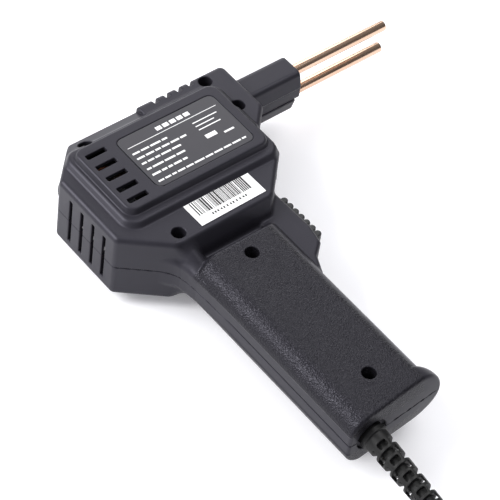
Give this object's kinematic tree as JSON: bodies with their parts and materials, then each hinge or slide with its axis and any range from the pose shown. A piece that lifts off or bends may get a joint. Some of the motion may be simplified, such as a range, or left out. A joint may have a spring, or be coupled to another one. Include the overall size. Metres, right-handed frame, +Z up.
{
  "type": "handheld hot stapler",
  "caption": "Pistol-shaped mains-powered resistance hot stapler with two copper rod electrodes, finger trigger, ribbed strain relief and coiled cord, lying on its side.",
  "frame": {"origin": "centre of the bounding box of the tool with its strain relief and without its cord, at the floor it lies on", "axes": "+X along the electrodes away from the handle, -Y down the handle to the cord, +Z up, out of the tool's right side"},
  "size_m": [0.2803, 0.3886, 0.053],
  "materials": {
    "shell": "fine-grained moulded charcoal plastic, leather grain on the grip",
    "rubber": "soft black rubber",
    "trigger": "black moulded plastic with finger ridges",
    "copper": null,
    "winding": "enamelled copper wire",
    "brass": "plain brass",
    "steel": "zinc-plated steel",
    "laminate": "stacked transformer steel",
    "nylon": "natural nylon",
    "phenolic": "dark heat-proof moulding",
    "live_sleeve": "brown wire sleeve",
    "neutral_sleeve": "blue wire sleeve",
    "plate": "printed dark film",
    "paper": "white self-adhesive paper"
  },
  "bodies": {
    "housing": {"right_housing": "shell", "left_housing": "shell", "rating_plate": "plate", "barcode_sticker": "paper", "trigger_pivot_pin": "steel", "trigger_spring": "steel", "switch_body": "phenolic", "transformer_core": "laminate", "bobbin": "nylon", "primary_winding": "winding", "secondary_winding": "winding", "electrode_upper": "copper", "electrode_lower": "copper", "electrode_clamp_upper": "brass", "electrode_clamp_lower": "brass", "clamp_screw_upper": "steel", "clamp_screw_lower": "steel", "secondary_lead_upper": "copper", "secondary_lead_lower": "copper", "electrode_holder": "phenolic", "thermal_fuse": "phenolic", "terminal_block": "nylon", "live_wire": "live_sleeve", "neutral_wire": "neutral_sleeve", "switched_wire": "live_sleeve", "primary_wire": "winding", "fuse_wire": "neutral_sleeve", "return_wire": "winding", "inner_lead": "rubber", "cord_clamp": "nylon", "cord_clamp_screw_1": "steel", "cord_clamp_screw_2": "steel", "strain_relief": "rubber", "cord": "rubber", "cord_coil": "rubber", "cord_tail": "rubber", "plug_body": "rubber", "plug_pin_1": "brass", "plug_pin_2": "brass", "housing_screw_1": "steel", "housing_screw_2": "steel", "housing_screw_3": "steel", "housing_screw_4": "steel", "housing_screw_5": "steel", "housing_screw_6": "steel"},
    "trigger": {"trigger": "trigger"},
    "plunger": {"switch_plunger": "nylon"}
  },
  "joints": [
    {"name": "trigger_pull", "type": "hinge", "parent": "housing", "child": "trigger", "pos_m": [-0.0241, 0.0611, 0.0265], "axis": [0, 0, -1], "range_deg": [0, 5], "stiffness_Nm_per_rad": 0.6, "springref_deg": -20.05},
    {"name": "plunger_press", "type": "slide", "parent": "housing", "child": "plunger", "axis": [-1, 0, 0], "range_m": [0, 0.0022]}
  ],
  "couplings": [
    {"joint": "plunger_press", "follows": "trigger_pull", "m_per_rad": 0.0215}
  ]
}
